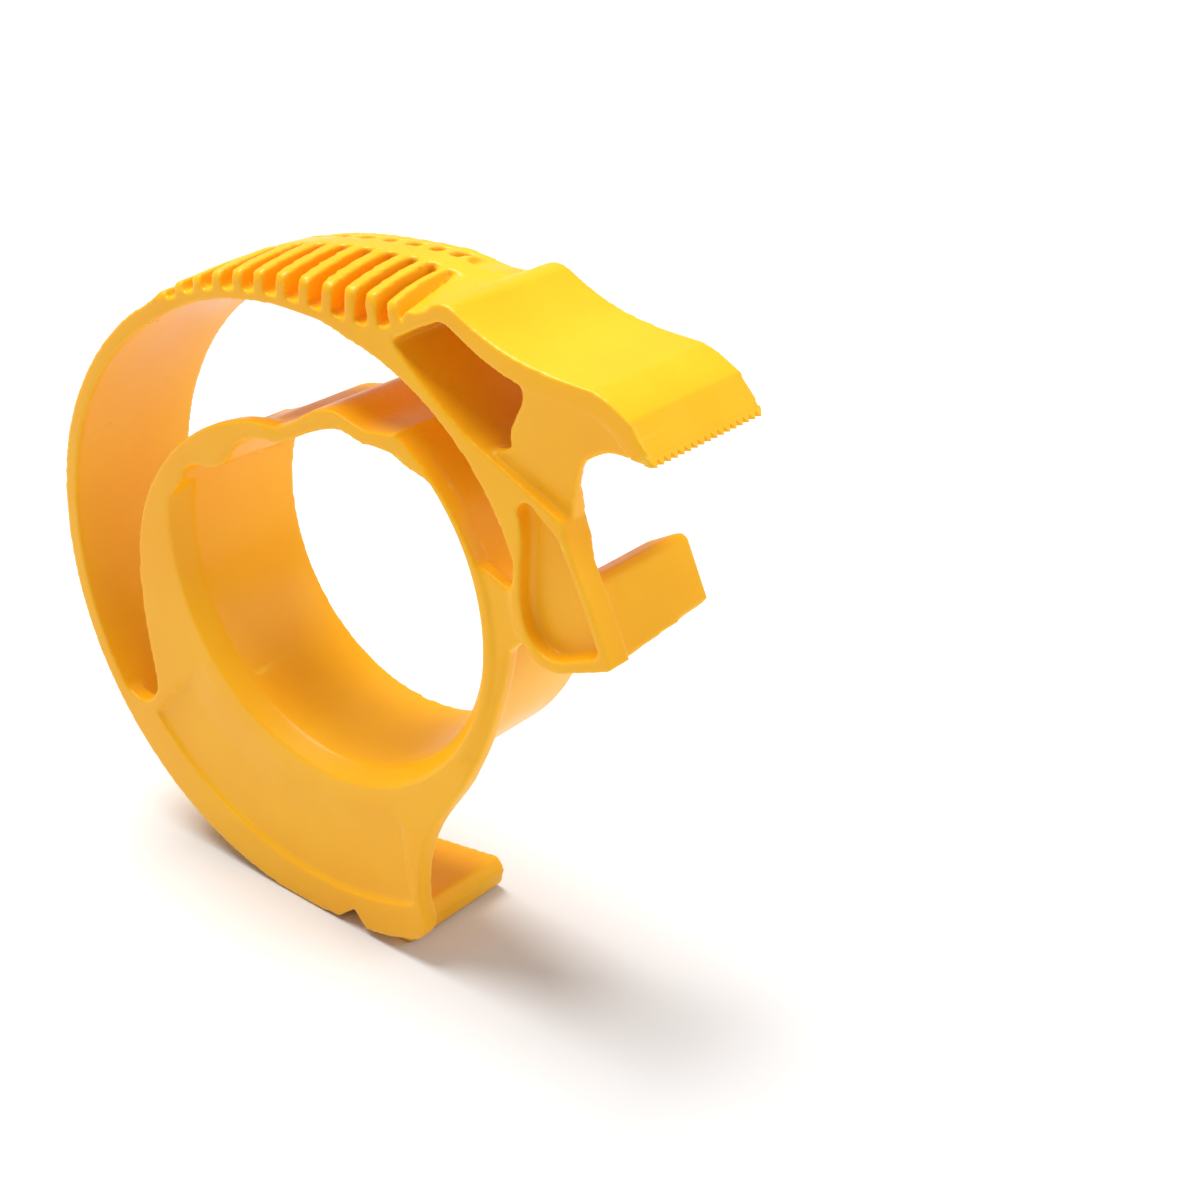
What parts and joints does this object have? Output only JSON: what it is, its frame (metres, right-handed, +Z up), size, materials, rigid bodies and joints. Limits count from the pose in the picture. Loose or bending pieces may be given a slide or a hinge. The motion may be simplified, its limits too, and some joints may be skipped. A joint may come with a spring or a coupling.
{
  "type": "tape gun dispenser",
  "caption": "Hand-held packing tape dispenser moulded in one piece, with a round handle loop, a hub sleeve for the roll, a landing tab and a toothed tearing nose.",
  "frame": {"origin": "middle of the bounding box's footprint, on the surface that the foot stands on", "axes": "+X from the handle towards the toothed nose, +Y from the flanged side towards the open side where the roll goes on, +Z up"},
  "size_m": [0.1366, 0.028, 0.1266],
  "materials": {
    "yellow_plastic": "satin"
  },
  "bodies": {
    "moulding": {"handle_band": "yellow_plastic", "lower_band": "yellow_plastic", "foot_plate": "yellow_plastic", "foot_leg": "yellow_plastic", "side_panel": "yellow_plastic", "side_crescent": "yellow_plastic", "hub_rim": "yellow_plastic", "hub_sleeve": "yellow_plastic", "flange_bridge": "yellow_plastic", "grip_skin": "yellow_plastic", "grip_spine": "yellow_plastic", "grip_ribs_near": "yellow_plastic", "grip_ribs_far": "yellow_plastic", "grip_rim_far": "yellow_plastic", "grip_root": "yellow_plastic", "head_roof": "yellow_plastic", "nose": "yellow_plastic", "cutter_teeth": "yellow_plastic", "head_web": "yellow_plastic", "web_gusset": "yellow_plastic", "head_partition": "yellow_plastic", "head_strip": "yellow_plastic", "front_frame": "yellow_plastic", "landing_tab": "yellow_plastic"},
    "spring": {"hub_spring": "yellow_plastic"}
  },
  "joints": [
    {"name": "spring_press", "type": "slide", "parent": "moulding", "child": "spring", "axis": [0.3511, 0, -0.9363], "range_m": [0, 0.0012], "stiffness_N_per_m": 2000}
  ]
}
